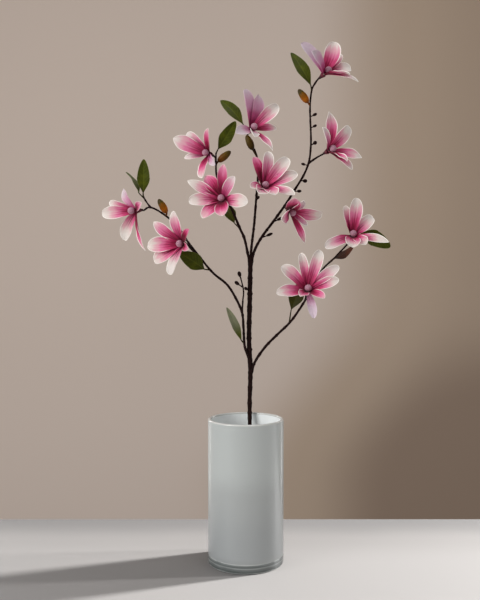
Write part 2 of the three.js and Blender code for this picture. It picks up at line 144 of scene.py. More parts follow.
# Each flower: the way it faces, then its petals. A petal is its clock and opening in degrees,
# length and width in millimetres, roll in degrees and point from 0 to 1, as in the CAD, then
# its pallor, from 0 to all pale lilac, and its blush: how much further up the pink climbs.
FLOWERS = [
    ((0.72, -0.38, 0.58), [
        (72, 40, 48, 23, -50, 0.1, 0, 0.1), (40, 46, 44, 20, -40, 0.1, 0, 0.05),
        (345, 42, 42, 20, 0, 0, 0, -0.05),
        (312, 55, 50, 14, 0, 0.6, 0, 0.0), (120, 85, 52, 17, -55, 0.4, 1, -0.2),
        (155, 75, 44, 16, -45, 0.3, 0.9, 0.1), (270, 40, 38, 15, 0, 0.2, 0, 0.3)]),
    ((0.7, -0.65, 0.3), [
        (90, 70, 54, 18, -30, 0.9, 0, 0.15), (145, 60, 42, 11, -25, 0.5, 0.3, 0),
        (48, 52, 46, 19, 0, 0, 0, -0.05), (335, 55, 48, 15, 0, 0.8, 0, 0.05),
        (308, 68, 42, 14, 0, 0.6, 0, 0.15), (275, 45, 34, 12, 0, 0.3, 0, 0.3)]),
    ((0.08, -0.86, 0.42), [
        (105, 65, 44, 14, 0, 0.1, 0, 0.2), (83, 60, 54, 19, 0, 0, 0, 0.03),
        (40, 70, 40, 19, 0, 0, 0, -0.1), (335, 65, 54, 13, 0, 0.8, 0, -0.12),
        (210, 76, 50, 18, 0, 0, 0.1, -0.05), (255, 50, 40, 22, 0, 0, 0, 0.15),
        (295, 48, 36, 18, 0, 0.1, 0, 0.15)]),
    ((0.06, -0.86, 0.45), [
        (195, 70, 48, 19, 0, 0.1, 0, 0.08), (140, 70, 48, 20, 0, 0, 0, 0.05),
        (100, 65, 52, 14, 0, 0.1, 0, 0.05), (70, 65, 58, 17, 0, 0, 0, -0.02),
        (32, 66, 54, 16, 0, 0.1, 0.15, -0.05), (10, 65, 45, 16, 0, 0.2, 0, 0.1),
        (308, 48, 38, 13, 0, 0.2, 0, 0.5), (275, 75, 48, 12, 0, 0, 1, -0.3),
        (235, 45, 30, 14, 0, 0.1, 0, 0.5)]),
    ((0.5, -0.72, -0.45), [
        (125, 50, 42, 21, -45, 0.2, 0, 0.6), (5, 65, 47, 19, 0, 0, 0, 0.05),
        (305, 65, 53, 11, 0, 0.9, 0, 0.35), (185, 48, 40, 19, 0, 0.2, 0.1, 0.3),
        (332, 62, 34, 8, 0, 0.3, 0.4, 0.3), (100, 40, 38, 14, -20, 0.2, 0.5, 0.1)]),
    ((0.28, -0.82, 0.45), [
        (110, 65, 44, 16, 0, 0.2, 0, 0.75), (80, 65, 51, 17, 0, 0.1, 0.15, 0.12),
        (45, 58, 53, 19, 0, 0, 0, -0.1), (15, 65, 50, 17, 0, 0.1, 0, -0.02),
        (322, 57, 47, 14, 0, 0.2, 0, 0.05), (235, 50, 40, 21, 0, 0, 0, 0.3),
        (208, 52, 40, 16, 0, 0.2, 0, 0.3), (275, 45, 38, 20, 0, 0.1, 0, 0.2)]),
    ((0.5, -0.7, 0.42), [
        (105, 60, 56, 20, 0, 0.2, 0.85, 0.3), (75, 60, 51, 19, 0, 0.3, 0.8, 0.35),
        (35, 48, 52, 18, 0, 0, 0, -0.05), (5, 80, 42, 13, 0, 0.5, 0, 0.2),
        (280, 65, 52, 12, 0, 0.9, 0, 0.15), (205, 75, 42, 17, 0, 0.3, 0.7, -0.3),
        (240, 55, 36, 14, 0, 0.1, 0.3, -0.4)]),
    ((-0.2, -0.9, 0.22), [
        (85, 63, 48, 14, 0, 0.3, 0.1, 0.6), (125, 67, 39, 19, 0, 0.3, 0, 0.6),
        (155, 65, 54, 16, 0, 0.8, 0, 0), (190, 65, 46, 20, 0, 0, 0, -0.05),
        (237, 60, 43, 19, 0, 0.1, 0, 0.35), (285, 50, 40, 20, 0, 0, 0, 0.5),
        (345, 65, 44, 19, 0, 0, 0, -0.12), (48, 50, 40, 15, 0, 0.2, 0.35, 0.15)]),
    ((-0.6, -0.72, 0.12), [
        (155, 50, 56, 22, 0, 0.7, 0.1, 0.08), (135, 66, 45, 17, 0, 0.3, 0.15, 0),
        (62, 52, 40, 12, 0, 0.6, 0, 0.5), (188, 70, 38, 10, 0, 0.5, 0.3, -0.1),
        (278, 65, 42, 18, 0, 0, 0, 0.25), (320, 65, 37, 11, 0, 0.2, 0.8, 0)]),
    ((-0.55, -0.8, 0.02), [
        (98, 70, 46, 15, 0, 0.2, 0.1, 0.1), (140, 65, 50, 16, 0, 0.7, 0.1, 0.3),
        (183, 60, 49, 21, 0, 0, 0, 0.1), (214, 66, 46, 21, 0, 0, 0, 0.12),
        (260, 65, 46, 17, 0, 0, 0.1, -0.35), (36, 55, 36, 11, 0, 0.5, 0, 0.9),
        (341, 50, 34, 11, 0, 0.4, 0, 0.6)]),
    ((-0.85, -0.48, -0.1), [
        (180, 33, 49, 18, 0, 0, 0, -0.02), (155, 55, 45, 13, 0, 0.4, 0.1, 0),
        (235, 75, 48, 18, -40, 0.1, 0, -0.3), (282, 92, 58, 11, 0, 0.9, 0, 0.4),
        (132, 82, 43, 15, 0, 0.4, 0.75, 0), (15, 82, 30, 12, 0, 0.3, 0.2, 0.5)]),
]

# Each leaf: name, where it leaves its shoot, base, tip, the way it faces, width and arch.
LEAVES = [
    ("leaf_top", (93, 28, 659), (92, 30, 667), (65, 44, 717), (0.25, -1, 0.25), 20, 3),
    ("leaf_upper_middle", (3, 37, 598), (-4, 44, 616), (-36, 60, 653), (0.1, -1, 0.5), 20, 4),
    ("leaf_upper_left", (-42, 30, 571), (-39, 29, 577), (-14, 18, 614), (0.3, -1, 0.1), 19, 3),
    ("leaf_left_tall", (-143, 12, 508), (-143, 11, 513), (-141, 4, 559), (0.1, -1, -0.1), 18, 3),
    ("leaf_left_edge", (-141, 12, 505), (-149, 16, 513), (-169, 26, 544), (0.8, -0.35, 0.45),
     15, 3),
    ("leaf_left_low", (-50, 15, 406), (-58, 13, 407), (-93, 2, 430), (0.2, -1, 0.15), 24, 4),
    ("leaf_right", (146, 43, 443), (166, 55, 461), (211, 58, 440), (0.1, -1, 0.2), 25, 3),
    ("leaf_stem", (-2, 36, 301), (-6, 30, 306), (-27, 28, 353), (0.3, -1, 0.2), 12, 3),
    ("leaf_under_flower", (-7, 32, 464), (-16, 33, 473), (-32, 46, 502), (0.1, -0.9, 0.5), 18, 3),
    ("leaf_fork", (62, 26, 332), (65, 30, 350), (82, 42, 390), (-0.1, -1, 0.3), 22, 3),
    ("bract_right", (118, 28, 417), (126, 28, 422), (152, 24, 440), (0.3, -0.8, -0.5), 13, 3),
]

# How far a leaf or bud is off its usual colour, from 0 to 1.
GREYED = {"leaf_stem": 0.7, "leaf_left_edge": 0.35}
DARKENED = {"leaf_fork": 0.7, "leaf_under_flower": 0.3}
OLIVE = {"bud_upper_middle": 1.0, "bud_upper_left": 0.7}

# Each bud: name, where it leaves its shoot, base and tip.
BUDS = [
    ("bud_top", (91, 28, 638), (88, 27, 642), (74, 24, 660)),
    ("bud_upper_left", (-42, 27, 555), (-39, 26, 559), (-21, 22, 573)),
    ("bud_upper_middle", (16, 26, 566), (10, 22, 575), (1, 19, 595)),
    ("bud_left", (-111, 10, 481), (-110, 8, 485), (-121, 4, 504)),
]

# ---------------------------------------------------------------- small helpers


def unit(v):
    v = np.asarray(v, float)
    return v / np.linalg.norm(v)


def smooth(low, high, x):
    t = np.clip((np.asarray(x, float) - low) / (high - low), 0, 1)
    return t * t * (3 - 2 * t)


def mesh_object(name, points, faces, attributes=None):
    """A smooth-shaded mesh object from points in millimetres."""
    mesh = bpy.data.meshes.new(name)
    mesh.from_pydata((np.asarray(points) * MM).tolist(), [], faces)
    mesh.validate()
    mesh.shade_smooth()
    for key, values in (attributes or {}).items():
        layer = mesh.attributes.new(key, "FLOAT", "POINT")
        layer.data.foreach_set("value", np.asarray(values, np.float32).ravel())
    obj = bpy.data.objects.new(name, mesh)
    bpy.context.collection.objects.link(obj)
    return obj


def ring_faces(rows, sides, offset=0, capped=True):
    """Quads between rows of rings, with both ends capped."""
    faces = []
    for row in range(rows - 1):
        for side in range(sides):
            a = offset + row * sides + side
            b = offset + row * sides + (side + 1) % sides
            faces.append((a, b, b + sides, a + sides))
    if capped:
        last = offset + (rows - 1) * sides
        faces.append(tuple(range(offset + sides - 1, offset - 1, -1)))
        faces.append(tuple(range(last, last + sides)))
    return faces


def smooth_path(path, step):
    """A centripetal Catmull-Rom curve through the path, at even steps along its length."""
    knots = np.array(path, float)
    knots = np.vstack([2 * knots[0] - knots[1], knots, 2 * knots[-1] - knots[-2]])
    pieces = []
    for i in range(1, len(knots) - 2):
        p0, p1, p2, p3 = knots[i - 1:i + 3]
        d0, d1, d2 = (max(np.linalg.norm(b - a) ** 0.5, 1e-4)
                      for a, b in ((p0, p1), (p1, p2), (p2, p3)))
        t1 = ((p1 - p0) / d0 - (p2 - p0) / (d0 + d1) + (p2 - p1) / d1) * d1
        t2 = ((p2 - p1) / d1 - (p3 - p1) / (d1 + d2) + (p3 - p2) / d2) * d1
        u = np.linspace(0, 1, 40, endpoint=False)[:, None]
        pieces.append(p1 + t1 * u + (3 * (p2 - p1) - 2 * t1 - t2) * u ** 2
                      + (2 * (p1 - p2) + t1 + t2) * u ** 3)
    line = np.vstack(pieces + [knots[-2:-1]])
    run = np.concatenate([[0], np.cumsum(np.linalg.norm(np.diff(line, axis=0), axis=1))])
    along = np.linspace(0, run[-1], max(3, int(round(run[-1] / step)) + 1))
    return np.column_stack([np.interp(along, run, line[:, k]) for k in range(3)]), along


def carried_frames(line):
    """Two directions square to the line at every point, carried along without twist."""
    ahead = np.gradient(line, axis=0)
    ahead /= np.linalg.norm(ahead, axis=1)[:, None]
    start = np.cross(ahead[0], (0.3, 1.0, 0.2))
    across = [unit(start)]
    for direction in ahead[1:]:
        across.append(unit(across[-1] - direction * (across[-1] @ direction)))
    across = np.array(across)
    return across, np.cross(ahead, across)


def sweep(line, radii, sides):
    """Rings of a tube round the line, one radius for every point of it."""
    across, over = carried_frames(line)
    turn = np.arange(sides) / sides * 2 * math.pi
    ring = (np.cos(turn)[None, :, None] * across[:, None]
            + np.sin(turn)[None, :, None] * over[:, None])
    return line[:, None] + ring * np.asarray(radii)[:, None, None]


# ---------------------------------------------------------------- materials


def linear(red, green, blue):
    """A colour given in 0 to 255 display values, as the shader takes it."""
    def one(c):
        c /= 255
        return c / 12.92 if c <= 0.04045 else ((c + 0.055) / 1.055) ** 2.4
    return (one(red), one(green), one(blue), 1.0)


class Paint:
    """One node material, with short ways to add the nodes that it needs."""

    def __init__(self, name, roughness=0.6, **inputs):
        self.material = bpy.data.materials.new(name)
        self.material.use_nodes = True
        self.tree = self.material.node_tree
        self.shader = self.tree.nodes["Principled BSDF"]
        self.shader.inputs["Roughness"].default_value = roughness
        for key, value in inputs.items():
            self.shader.inputs[key.replace("_", " ")].default_value = value

    def node(self, kind, **settings):
        made = self.tree.nodes.new(kind)
        for key, value in settings.items():
            setattr(made, key, value)
        return made

    def link(self, source, target):
        self.tree.links.new(source, target)

    def feed(self, socket, value):
        """Sets a socket to a number or colour, or links a source to it."""
        if isinstance(value, (int, float, tuple)):
            socket.default_value = value
        else:
            self.link(value, socket)

    def axes(self, source):
        """The x, y and z of a position."""
        made = self.node("ShaderNodeSeparateXYZ")
        self.link(source, made.inputs[0])
        return made.outputs

    def attribute(self, name):
        return self.node("ShaderNodeAttribute", attribute_name=name).outputs["Fac"]

    def position(self):
        return self.node("ShaderNodeTexCoord").outputs["Object"]

    def math(self, operation, a, b=0.0, clamp=False):
        made = self.node("ShaderNodeMath", operation=operation, use_clamp=clamp)
        for slot, value in enumerate((a, b)):
            self.feed(made.inputs[slot], value)
        return made.outputs[0]

    def noise(self, scale, detail=3.0, vector=None, distortion=0.0):
        made = self.node("ShaderNodeTexNoise")
        made.inputs["Scale"].default_value = scale
        made.inputs["Detail"].default_value = detail
        made.inputs["Distortion"].default_value = distortion
        self.link(vector if vector is not None else self.position(), made.inputs["Vector"])
        return made.outputs["Fac"]

    def combine(self, x, y, z=0.0):
        made = self.node("ShaderNodeCombineXYZ")
        for slot, value in enumerate((x, y, z)):
            self.feed(made.inputs[slot], value)
        return made.outputs[0]

    def ramp(self, factor, stops):
        made = self.node("ShaderNodeValToRGB")
        made.color_ramp.interpolation = "EASE"
        elements = made.color_ramp.elements
        while len(elements) < len(stops):
            elements.new(0.5)
        for element, (place, colour) in zip(elements, stops):
            element.position = place
            element.color = colour
        self.link(factor, made.inputs["Fac"])
        return made.outputs["Color"]

    def spread(self, value, low, high, to_low=0.0, to_high=1.0):
        made = self.node("ShaderNodeMapRange", interpolation_type="SMOOTHSTEP")
        self.link(value, made.inputs["Value"])
        for key, number in (("From Min", low), ("From Max", high),
                            ("To Min", to_low), ("To Max", to_high)):
            made.inputs[key].default_value = number
        return made.outputs["Result"]

    def mix(self, factor, a, b):
        made = self.node("ShaderNodeMix", data_type="RGBA")
        for slot, value in ((0, factor), (6, a), (7, b)):
            self.feed(made.inputs[slot], value)
        return made.outputs[2]

    def colour(self, source):
        self.link(source, self.shader.inputs["Base Color"])

    def roughness(self, source):
        self.link(source, self.shader.inputs["Roughness"])

    def bump(self, height, strength, distance):
        made = self.node("ShaderNodeBump")
        made.inputs["Strength"].default_value = strength
        made.inputs["Distance"].default_value = distance
        self.link(height, made.inputs["Height"])
        self.link(made.outputs["Normal"], self.shader.inputs["Normal"])


def petal_paint():
    """Magenta foot and creases, through pink, to a near-white tip with a fine white rim."""
    paint = Paint("petal", 0.62, Sheen_Weight=0.15, Sheen_Roughness=0.4,
                  Specular_IOR_Level=0.25)
    along = paint.attribute("along")
    across = paint.attribute("across")
    seed = paint.attribute("seed")
    streaks = paint.noise(1.0, 4.0, paint.combine(
        paint.math("MULTIPLY", across, 5.5), paint.math("MULTIPLY", along, 1.1), seed))
    blotch = paint.noise(1.0, 2.0, paint.combine(
        paint.math("MULTIPLY", across, 1.2), paint.math("MULTIPLY", along, 2.0), seed))
    reach = paint.math("ADD", along, paint.math("MULTIPLY", paint.math(
        "SUBTRACT", streaks, 0.5), 0.34))
    reach = paint.math("ADD", reach, paint.math("MULTIPLY", paint.math(
        "SUBTRACT", blotch, 0.5), 0.30))
    blush = paint.attribute("blush")
    reach = paint.math("SUBTRACT", reach, paint.math("MULTIPLY", blush, 0.5))
    base = paint.ramp(reach, [
        (0.0, linear(108, 4, 40)), (0.18, linear(158, 18, 70)), (0.34, linear(198, 60, 110)),
        (0.5, linear(220, 114, 152)), (0.66, linear(224, 164, 175)),
        (0.84, linear(224, 208, 200)), (1.0, linear(226, 216, 208))])
    base = paint.mix(paint.attribute("crease"), base, linear(112, 0, 36))
    pale = paint.ramp(paint.math("SUBTRACT", along, paint.math("MULTIPLY", blush, 0.5)), [
        (0.0, linear(150, 16, 76)), (0.22, linear(190, 84, 134)), (0.42, linear(204, 148, 178)),
        (0.9, linear(208, 188, 198))])
    base = paint.mix(paint.attribute("pallor"), base, pale)
    rim = paint.spread(paint.attribute("edge"), 1.05, 0.5)
    rim = paint.math("MULTIPLY", rim, paint.spread(along, 0.3, 0.55, 0.0, 0.95))
    rim = paint.math("MULTIPLY", rim, paint.spread(blush, 0.3, 0.7, 1.0, 0.25))
    rim = paint.math("MULTIPLY", rim, paint.spread(paint.attribute("pallor"), 0.4, 0.9, 1.0, 0.15))
    base = paint.mix(rim, base, linear(255, 248, 238))
    paint.colour(base)
    veins = paint.noise(1.0, 2.0, paint.combine(
        paint.math("MULTIPLY", across, 26.0), paint.math("MULTIPLY", along, 2.2), seed))
    weave = paint.noise(2600.0, 2.0)
    paint.bump(paint.math("ADD", veins, paint.math("MULTIPLY", weave, 0.35)), 0.35, 0.0004)
    paint.roughness(paint.spread(streaks, 0.2, 0.8, 0.5, 0.72))
    return paint.material


def bead_paint():
    """Pinkish grey grains, darker between them, with pale specks."""
    paint = Paint("flower_centre", 0.5, Specular_IOR_Level=0.4)
    height = paint.attribute("height")
    tint = paint.ramp(height, [
        (0.0, linear(110, 28, 62)), (0.45, linear(164, 104, 130)), (1.0, linear(200, 158, 172))])
    speck = paint.spread(paint.noise(1400.0, 2.0), 0.55, 0.75)
    paint.colour(paint.mix(speck, tint, linear(214, 184, 180)))
    paint.bump(paint.noise(2200.0, 3.0), 0.3, 0.0003)
    return paint.material


def calyx_paint():
    """Dark red-brown, warmer towards the lip."""
    paint = Paint("calyx", 0.68, Specular_IOR_Level=0.3)
    along = paint.attribute("along")
    grain = paint.noise(900.0, 4.0)
    tint = paint.ramp(paint.math("ADD", along, paint.math("MULTIPLY", grain, 0.35)), [
        (0.15, linear(38, 22, 22)), (0.7, linear(72, 32, 38)), (1.2, linear(112, 42, 56))])
    paint.colour(tint)
    paint.bump(grain, 0.4, 0.0005)
    return paint.material


def bark_paint():
    """Near-black brown bark with a reddish grain, paler scars and fine ridges."""
    paint = Paint("bark", 0.75, Specular_IOR_Level=0.08)
    place = paint.position()
    stretch = paint.node("ShaderNodeMapping")
    stretch.inputs["Scale"].default_value = (1.0, 1.0, 0.25)
    paint.link(place, stretch.inputs["Vector"])
    grain = paint.noise(1300.0, 5.0, stretch.outputs["Vector"], 0.4)
    patch = paint.noise(160.0, 3.0, place)
    tint = paint.ramp(grain, [
        (0.25, linear(12, 4, 4)), (0.5, linear(28, 13, 11)), (0.72, linear(50, 29, 23)),
        (0.9, linear(76, 50, 38))])
    tint = paint.mix(paint.spread(patch, 0.5, 0.75, 0.0, 0.5), tint, linear(40, 17, 19))
    paint.colour(tint)
    paint.roughness(paint.spread(grain, 0.2, 0.8, 0.6, 0.85))
    paint.bump(grain, 0.6, 0.0006)
    return paint.material


def leaf_paint():
    """Dark olive green with a paler midrib, side veins, a fine light edge and a dull back."""
    paint = Paint("leaf", 0.5, Specular_IOR_Level=0.12)
    along = paint.attribute("along")
    vein = paint.attribute("vein")
    place = paint.position()
    patch = paint.noise(90.0, 4.0, place)
    tint = paint.ramp(patch, [
        (0.25, linear(46, 50, 2)), (0.5, linear(62, 68, 4)), (0.8, linear(80, 86, 8))])
    tint = paint.mix(paint.spread(along, 0.0, 0.25, 0.45, 0.0), tint, linear(46, 40, 14))
    tint = paint.mix(paint.math("MULTIPLY", vein, 0.4), tint, linear(104, 112, 34))
    rim = paint.spread(paint.attribute("edge"), 0.6, 0.15, 0.0, 0.55)
    tint = paint.mix(rim, tint, linear(140, 144, 80))
    tint = paint.mix(paint.math("MULTIPLY", paint.attribute("back"), 0.5), tint,
                     linear(104, 112, 66))
    tint = paint.mix(paint.attribute("grey"), tint, linear(136, 136, 112))
    tint = paint.mix(paint.attribute("dark"), tint, linear(38, 30, 10))
    paint.colour(tint)
    grain = paint.noise(1100.0, 3.0, place)
    paint.bump(paint.math("ADD", grain, paint.math("MULTIPLY", vein, 0.6)), 0.3, 0.0004)
    paint.roughness(paint.spread(patch, 0.2, 0.8, 0.42, 0.58))
    return paint.material


def bract_paint():
    """Reddish brown, lighter towards the tip, with a paler midrib."""
    paint = Paint("bract", 0.6, Specular_IOR_Level=0.3)
    along = paint.attribute("along")
    patch = paint.noise(220.0, 4.0)
    tint = paint.ramp(paint.math("ADD", along, paint.math("MULTIPLY", patch, 0.4)), [
        (0.2, linear(28, 12, 6)), (0.6, linear(56, 24, 8)), (1.1, linear(92, 42, 18))])
    tint = paint.mix(paint.math("MULTIPLY", paint.attribute("vein"), 0.35), tint,
                     linear(112, 66, 44))
    paint.colour(tint)
    paint.bump(patch, 0.3, 0.0004)
    return paint.material


def bud_paint():
    """Orange to olive brown scales, darker at their foot and edges."""
    paint = Paint("bud", 0.5, Specular_IOR_Level=0.15)
    along = paint.attribute("along")
    raised = paint.attribute("raised")
    olive = paint.attribute("olive")
    streak = paint.noise(1.0, 4.0, paint.combine(
        paint.math("MULTIPLY", paint.attribute("turn"), 14.0),
        paint.math("MULTIPLY", along, 2.0)))
    warm = paint.ramp(paint.math("ADD", along, paint.math("MULTIPLY", streak, 0.5)), [
        (0.2, linear(112, 56, 2)), (0.5, linear(160, 88, 2)), (0.8, linear(124, 74, 2)),
        (1.15, linear(92, 70, 4)), (1.4, linear(66, 56, 10))])
    green = paint.ramp(paint.math("ADD", along, paint.math("MULTIPLY", streak, 0.5)), [
        (0.2, linear(40, 24, 2)), (0.6, linear(66, 46, 4)), (1.2, linear(84, 66, 10))])
    tint = paint.mix(olive, warm, green)
    tint = paint.mix(paint.spread(raised, 0.5, 0.0, 0.0, 0.6), tint, linear(58, 38, 12))
    paint.colour(tint)
    paint.bump(streak, 0.4, 0.0004)
    return paint.material


def glass_paints():
    """The vase's frosted outside, painted darker towards its foot partly as painted shade,
    polished rim, thick clear floor with painted reflections and shade, and frosted inside painted
    lighter as painted light.
    """
    frost = Paint("frosted_glass", 0.4, Transmission_Weight=0.12, IOR=1.48,
                  Specular_IOR_Level=0.4, Coat_Weight=0.35, Coat_Roughness=0.12)
    place = frost.position()
    cloud = frost.noise(14.0, 3.0, place)
    # Partly painted shade: the frosted outside is painted darker towards its foot, both as thicker
    # milky glass there and as painted shade for the dimmer light low down. The cloud noise is the
    # glass's own uneven tone.
    frost_tone_and_painted_shade = frost.math("ADD", frost.spread(frost.axes(place)[2], 0.02, 0.19),
                      frost.math("MULTIPLY", cloud, 0.4))
    frost.colour(frost.ramp(frost_tone_and_painted_shade, [
        (0.1, linear(168, 171, 171)), (0.6, linear(179, 182, 180)), (1.3, linear(194, 198, 195))]))
    speckle = frost.noise(2400.0, 2.0, place)
    frost.bump(speckle, 0.08, 0.0002)
    frost.roughness(frost.spread(cloud, 0.3, 0.7, 0.36, 0.48))
    rim = Paint("polished_rim", 0.12, Transmission_Weight=0.1, IOR=1.5,
                Specular_IOR_Level=0.6)
    rim.colour(rim.ramp(rim.noise(60.0, 2.0), [
        (0.3, linear(212, 212, 206)), (0.7, linear(222, 222, 216))]))
    rim.roughness(rim.spread(rim.noise(90.0, 2.0), 0.3, 0.7, 0.1, 0.2))
    clear = Paint("clear_glass", 0.06, Transmission_Weight=0.25, IOR=1.5,
                  Specular_IOR_Level=0.6)
    tall = clear.attribute("tall")
    streak = clear.noise(1.0, 3.0, clear.combine(
        clear.math("MULTIPLY", clear.attribute("round"), 5.0),
        clear.math("MULTIPLY", tall, 7.0)))
    # Painted reflections and shade: this ramp paints the thick floor's dark refracted band, its
    # pale streaks and the pale lines at its edges into the colour.
    painted_reflection_band = clear.math("ADD", tall, clear.math("MULTIPLY", clear.math(
        "SUBTRACT", streak, 0.5), 0.3))
    clear.colour(clear.ramp(painted_reflection_band, [
        (0.0, linear(206, 210, 206)), (0.09, linear(196, 200, 197)),
        (0.2, linear(96, 101, 99)), (0.45, linear(118, 123, 121)),
        (0.6, linear(160, 165, 163)), (0.72, linear(110, 115, 113)),
        (0.92, linear(140, 146, 144)), (1.0, linear(212, 215, 212))]))
    clear.roughness(clear.spread(streak, 0.3, 0.7, 0.05, 0.14))
    # Painted light: the inside is the same frosted glass as the outside, painted near white so
    # that it reads lit and lighter.
    inside = Paint("frosted_inside_painted_light", 0.5, Specular_IOR_Level=0.4)
    inside.colour(inside.ramp(inside.noise(14.0, 3.0), [
        (0.3, linear(246, 249, 247)), (0.7, linear(252, 254, 252))]))
    inside.bump(inside.noise(2400.0, 2.0), 0.08, 0.0002)
    return frost.material, rim.material, clear.material, inside.material


# ---------------------------------------------------------------- the vase


def make_vase(*paints):
    """A glass cylinder turned from its profile. Each stretch of the profile has its finish."""
    low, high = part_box("vase")
    radius = (high[0] - low[0]) / 2 / MM
    top = high[2] / MM
    inner = radius - VASE_WALL
    middle, half = radius - VASE_WALL / 2, VASE_WALL / 2
    quarter = np.linspace(0, math.pi / 2, 9)
    stretches = [
        (CLEAR, [(8, 0.0), (30, 0.0)]),
        (CLEAR, [(radius - VASE_BEVEL + VASE_BEVEL * math.sin(a),
                  VASE_BEVEL - VASE_BEVEL * math.cos(a)) for a in quarter]),
        (CLEAR, [(radius, z) for z in np.linspace(3.2, VASE_FLOOR - 0.6, 10)]),
        (CLEAR, [(radius - 0.12, VASE_FLOOR - 0.2), (radius - 0.12, VASE_FLOOR + 0.2)]),
        (FROST, [(radius, z) for z in np.linspace(VASE_FLOOR + 0.6, top - 2.2, 30)]),
        (RIM, [(middle + half * math.cos(a), top - half + half * math.sin(a))
               for a in np.linspace(0, math.pi, 15)]),
        (INSIDE, [(inner, z) for z in np.linspace(top - 2.4, VASE_FLOOR + 6, 26)]),
        (INSIDE, [(inner - 5 + 5 * math.cos(a), VASE_FLOOR + 5 - 5 * math.sin(a))
                  for a in quarter]),
        (INSIDE, [(r, VASE_FLOOR) for r in (32, 20, 8)]),
    ]
    profile = [spot for _, spots in stretches for spot in spots]
    finish = [which for which, spots in stretches for _ in spots]
    turn = np.arange(VASE_SIDES) / VASE_SIDES * 2 * math.pi
    rings = np.array([[(r * math.cos(a), r * math.sin(a), z) for a in turn]
                      for r, z in profile])
    tall = np.clip(rings[:, :, 2] / VASE_FLOOR, 0, 1)
    around = np.tile(1 + np.sin(turn), (len(profile), 1))
    vase = mesh_object("glass_vase", rings.reshape(-1, 3), ring_faces(len(profile), VASE_SIDES),
                       {"tall": tall.ravel(), "round": around.ravel()})
    for material in paints:
        vase.data.materials.append(material)
    for face in vase.data.polygons:
        row = face.index // VASE_SIDES
        face.material_index = finish[row] if row < len(profile) - 1 else INSIDE
    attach(vase, "root")
    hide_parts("vase")


# ---------------------------------------------------------------- the wood


def bark_radius(along, seed):
    """How a stem swells and narrows along its length: leaf scars and slow lumps."""
    rng = np.random.default_rng(seed)
    grow = np.ones_like(along)
    place = rng.uniform(8, 18)
    while place < along[-1] - 4:
        grow += rng.uniform(0.12, 0.26) * np.exp(-((along - place) / rng.uniform(0.9, 1.5)) ** 2)
        place += rng.uniform(13, 27)
    phase = rng.uniform(0, 6)
    grow += 0.05 * np.sin(along / 3.1 + phase) + 0.03 * np.sin(along / 1.3 + 2 * phase)
    return grow


def run_rings(path, radii, seed, collar):
    line, along = smooth_path(path, BARK_STEP)
    radius = np.interp(along / along[-1], np.linspace(0, 1, len(radii)), radii)
    radius = radius * bark_radius(along, seed)
    if collar:
        radius = radius * (1 + 0.45 * np.exp(-(along / 4.5) ** 2))
    return sweep(line, radius, 14)


def knot_rings(start, end, radius):
    """A resting bud on its stub: a thin neck, then a pointed body with scale edges."""
    start, end = np.array(start, float), np.array(end, float)
    along = np.linspace(0, 1, 22)
    line = start + (end - start) * 1.3 * along[:, None]
    body = np.where(along < 0.42, 0.36,
                    0.36 + 0.64 * np.sin(np.clip((along - 0.42) / 0.58, 0, 1) * math.pi) ** 0.7)
    body = body * (1 + 0.1 * np.sin(along * 40) * (along > 0.5))
    body[-1] = 0.12
    return sweep(line, body * radius, 12)


def make_wood(name, spec, material, seed):
    """One shoot: its runs and resting buds fused into one skin with bark on it."""
    skins = [run_rings(path, radii, seed * 31 + i, collar=i > 0 or name != "main_stem")
             for i, (path, radii) in enumerate(spec["runs"])]
    skins += [knot_rings(*knot) for knot in spec["knots"]]
    points, faces, count = [], [], 0
    for rings in skins:
        rows, sides = rings.shape[:2]
        points.append(rings.reshape(-1, 3))
        faces += ring_faces(rows, sides, count)
        count += rows * sides
    wood = mesh_object("wood_" + name, np.vstack(points), faces)
    remesh = wood.modifiers.new("fuse", "REMESH")
    remesh.mode = "VOXEL"
    remesh.voxel_size = BARK_VOXEL * MM
    remesh.use_smooth_shade = True
    relax = wood.modifiers.new("relax", "SMOOTH")
    relax.factor = 0.5
    relax.iterations = 2
    settle(wood)
    roughen(wood, seed)
    wood.data.materials.append(material)
    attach(wood, "root")
    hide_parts(name)


def settle(obj):
    """Applies the object's modifiers, so that none is left on it."""
    graph = bpy.context.evaluated_depsgraph_get()
    settled = bpy.data.meshes.new_from_object(obj.evaluated_get(graph))
    settled.name = obj.data.name + "_done"
    obj.modifiers.clear()
    obj.data = settled


def roughen(obj, seed):
    """Bark: shallow furrows that run up the stem, and small pits."""
    mesh = obj.data
    count = len(mesh.vertices)
    points = np.empty(count * 3, np.float32)
    normals = np.empty(count * 3, np.float32)
    mesh.vertices.foreach_get("co", points)
    mesh.vertices.foreach_get("normal", normals)
    points, normals = points.reshape(-1, 3), normals.reshape(-1, 3)
    shift = Vector((seed * 3.7, seed * 1.9, 0))
    furrow = np.array([noise.noise(Vector((p[0] * 900, p[1] * 900, p[2] * 170)) + shift)
                       for p in points.tolist()])
    points += normals * (furrow * FURROW_DEPTH * MM)[:, None]
    mesh.vertices.foreach_set("co", points.ravel())
    mesh.shade_smooth()
    mesh.update()


# ---------------------------------------------------------------- flowers


def flower_frame(number, faces):
    low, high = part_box(f"flower_{number}_centre")
    centre = (np.array(low) + np.array(high)) / 2 / MM
    axis = unit(faces)
    up = unit(np.array((0, 0, 1.0)) - axis * axis[2])
    return centre, axis, up, np.cross(up, axis)


def petal_outline(along, point):
    rise = PETAL_CLAW + (1 - PETAL_CLAW) * np.sin(
        np.clip(along / PETAL_WIDEST, 0, 1) * math.pi / 2) ** 1.4
    past = np.clip((along - PETAL_WIDEST) / (1 - PETAL_WIDEST), 0, 0.999)
    fall = (1 - past ** (2.2 - 0.6 * point)) ** (0.5 + 0.45 * point)
    return np.where(along < PETAL_WIDEST, rise, np.maximum(fall, 0.02))


